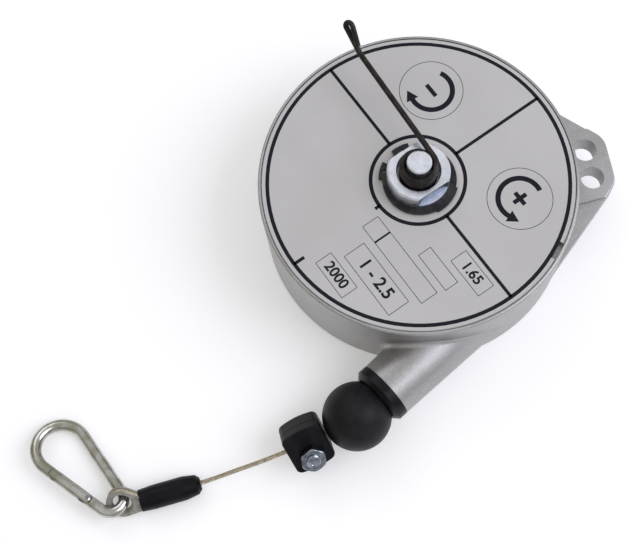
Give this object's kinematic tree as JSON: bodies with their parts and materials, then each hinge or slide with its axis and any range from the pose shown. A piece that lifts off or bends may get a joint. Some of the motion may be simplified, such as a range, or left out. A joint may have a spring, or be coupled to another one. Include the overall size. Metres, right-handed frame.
{
  "type": "spring tool balancer",
  "caption": "Round spring balancer with a side rope tube, suspension lug, spanner arbor, stop ball, clamp and spring hook on its rope.",
  "frame": {"origin": "on the drum axis at the rear face of the housing", "axes": "+Z along the drum axis out of the labelled face, -Y along the rope tube towards the rope's exit"},
  "size_m": [0.1342, 0.2738, 0.0713],
  "materials": {
    "casting": "satin die casting",
    "label": "satin printed foil",
    "bright_steel": "bright zinc",
    "turned_steel": "turned, zinc plated",
    "black_steel": "phosphated",
    "spring_steel": "oil blackened",
    "bronze": "sintered",
    "drum": "turned casting",
    "bush": "moulded",
    "rubber": "moulded",
    "clamp": "moulded nylon",
    "rope": "stranded steel rope",
    "ferrule": "crimped",
    "thimble": "moulded",
    "plated_hook": "zinc plated bright"
  },
  "bodies": {
    "balancer": {"housing_casting": "casting", "cover_plate": "casting", "rating_label": "label", "axle_pin": "bright_steel", "thrust_washer": "bright_steel", "rope_guide_bush": "bush"},
    "drum": {"rope_drum": "drum", "drum_bush": "bronze", "drum_lid": "drum", "rope_winding": "rope", "mainspring": "spring_steel", "drum_stud": "bright_steel"},
    "arbor": {"arbor": "turned_steel", "arbor_stud": "bright_steel", "arbor_clip": "black_steel"},
    "lever": {"release_lever": "spring_steel"},
    "rope_end": {"rubber_ball": "rubber", "clamp_half_front": "clamp", "clamp_half_back": "clamp", "clamp_bolt": "bright_steel", "clamp_nut": "bright_steel", "rope_lead": "rope", "rope_tail": "rope", "rubber_sleeve": "rubber", "ferrule": "ferrule", "thimble": "thimble", "rope_eye": "rope"},
    "hook": {"hook_body": "plated_hook", "gate_pin": "bright_steel"},
    "gate": {"hook_gate": "plated_hook"}
  },
  "joints": [
    {"name": "drum_spin", "type": "hinge", "parent": "balancer", "child": "drum", "pos_m": [0, 0, 0.02], "axis": [0, 0, -1], "range_deg": [0, 2199], "stiffness_Nm_per_rad": 0.002, "springref_deg": -2234.54, "deforming": ["mainspring"]},
    {"name": "rope_slide", "type": "slide", "parent": "balancer", "child": "rope_end", "axis": [0, -1, 0], "range_m": [0, 2]},
    {"name": "arbor_adjust", "type": "hinge", "parent": "balancer", "child": "arbor", "pos_m": [0, 0, 0.03], "axis": [0, 0, 1], "range_deg": [0, 2880]},
    {"name": "lever_press", "type": "hinge", "parent": "balancer", "child": "lever", "pos_m": [0, 0, 0.054], "axis": [0, 0, 1], "range_deg": [0, 12], "stiffness_Nm_per_rad": 0.5, "springref_deg": -5.73},
    {"name": "hook_swing", "type": "hinge", "parent": "rope_end", "child": "hook", "pos_m": [0.00975, -0.17895, 0.00656], "axis": [0.4272, -0.5929, 0.6827], "range_deg": [-60, 60]},
    {"name": "gate_open", "type": "hinge", "parent": "hook", "child": "gate", "pos_m": [-0.00025, -0.18856, 0.00829], "axis": [0.0735, -0.238, -0.9685], "range_deg": [0, 25], "stiffness_Nm_per_rad": 0.08, "springref_deg": -28.65}
  ],
  "couplings": [
    {"joint": "rope_slide", "follows": "drum_spin", "m_per_rad": 0.0521}
  ]
}
